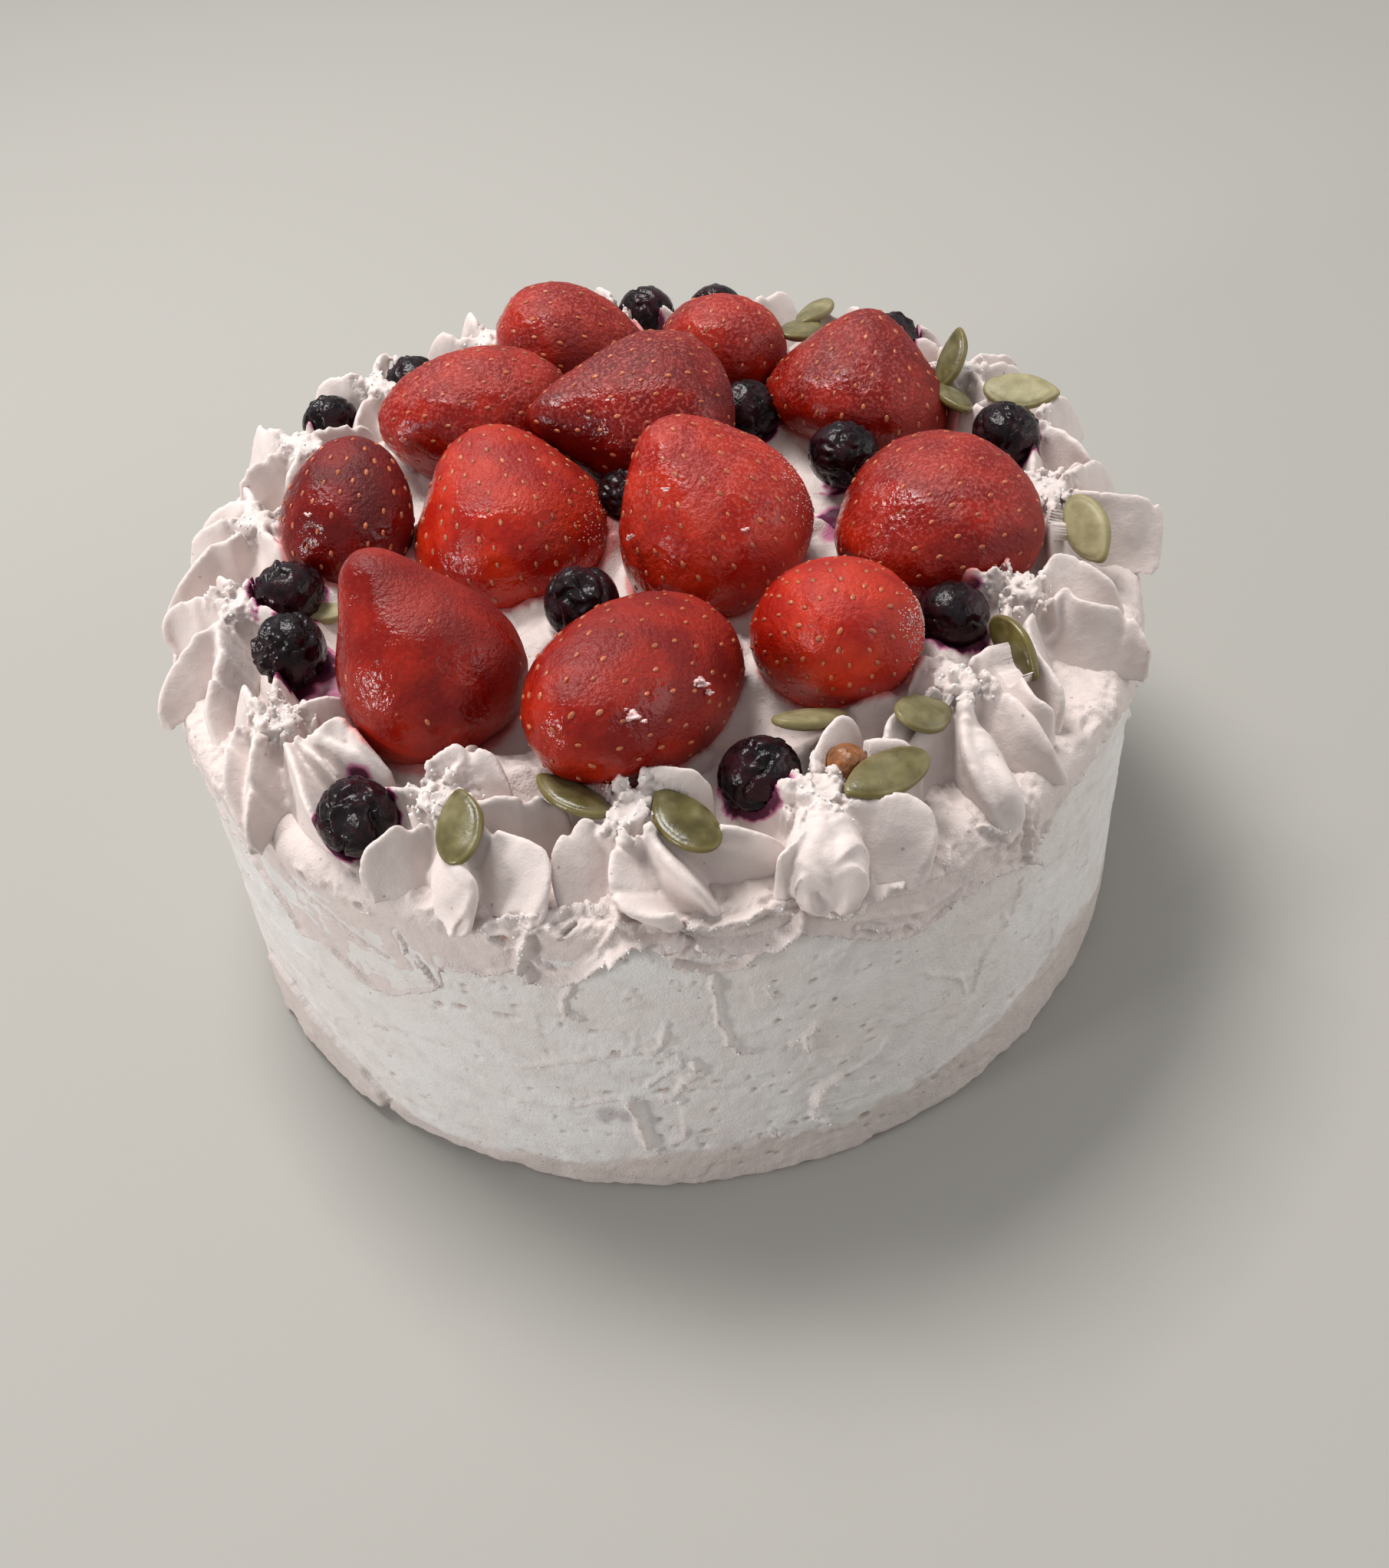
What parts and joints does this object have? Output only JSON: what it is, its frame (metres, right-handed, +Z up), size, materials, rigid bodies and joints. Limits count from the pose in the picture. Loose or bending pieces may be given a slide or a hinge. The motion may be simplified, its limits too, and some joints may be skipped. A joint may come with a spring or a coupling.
{
  "type": "christmas cake",
  "caption": "Small round cake iced in pale berry cream, with a ring of piped star swirls, frozen strawberries, blueberries and pumpkin seeds on top.",
  "frame": {"origin": "middle of the cake's flat underside", "axes": "+Z up, -Y towards the side that the picture shows, +X to its right"},
  "size_m": [0.1616, 0.1608, 0.0881],
  "materials": {
    "icing": "matte, spatula-smoothed pale berry cream with small pits and dark specks",
    "piped_cream": "matte piped cream, torn and crumbly at the swirl centres",
    "strawberry": "wet frozen fruit skin with dimples, achenes and a little frost",
    "blueberry": "wrinkled, partly wet, with a thin grey bloom",
    "pumpkin_seed": "satin to wet, pale to dark green",
    "raisin": "wrinkled, slightly glossy, orange brown"
  },
  "bodies": {
    "root": {"cake_body": "icing", "swirl_01": "piped_cream", "swirl_02": "piped_cream", "swirl_03": "piped_cream", "swirl_04": "piped_cream", "swirl_05": "piped_cream", "swirl_06": "piped_cream", "swirl_07": "piped_cream", "swirl_08": "piped_cream", "swirl_09": "piped_cream", "swirl_10": "piped_cream", "swirl_11": "piped_cream", "swirl_12": "piped_cream", "swirl_13": "piped_cream", "swirl_14": "piped_cream", "swirl_15": "piped_cream", "swirl_16": "piped_cream", "swirl_17": "piped_cream", "strawberry_01": "strawberry", "strawberry_02": "strawberry", "strawberry_03": "strawberry", "strawberry_04": "strawberry", "strawberry_05": "strawberry", "strawberry_06": "strawberry", "strawberry_07": "strawberry", "strawberry_08": "strawberry", "strawberry_09": "strawberry", "strawberry_10": "strawberry", "strawberry_11": "strawberry", "strawberry_12": "strawberry", "blueberry_01": "blueberry", "blueberry_02": "blueberry", "blueberry_03": "blueberry", "blueberry_04": "blueberry", "blueberry_05": "blueberry", "blueberry_06": "blueberry", "blueberry_07": "blueberry", "blueberry_08": "blueberry", "blueberry_09": "blueberry", "blueberry_10": "blueberry", "blueberry_11": "blueberry", "blueberry_12": "blueberry", "blueberry_13": "blueberry", "blueberry_14": "blueberry", "blueberry_15": "blueberry", "seed_01": "pumpkin_seed", "seed_02": "pumpkin_seed", "seed_03": "pumpkin_seed", "seed_04": "pumpkin_seed", "seed_05": "pumpkin_seed", "seed_06": "pumpkin_seed", "seed_07": "pumpkin_seed", "seed_08": "pumpkin_seed", "seed_09": "pumpkin_seed", "seed_10": "pumpkin_seed", "seed_11": "pumpkin_seed", "seed_12": "pumpkin_seed", "seed_13": "pumpkin_seed", "seed_14": "pumpkin_seed", "raisin_01": "raisin"}
  },
  "joints": []
}
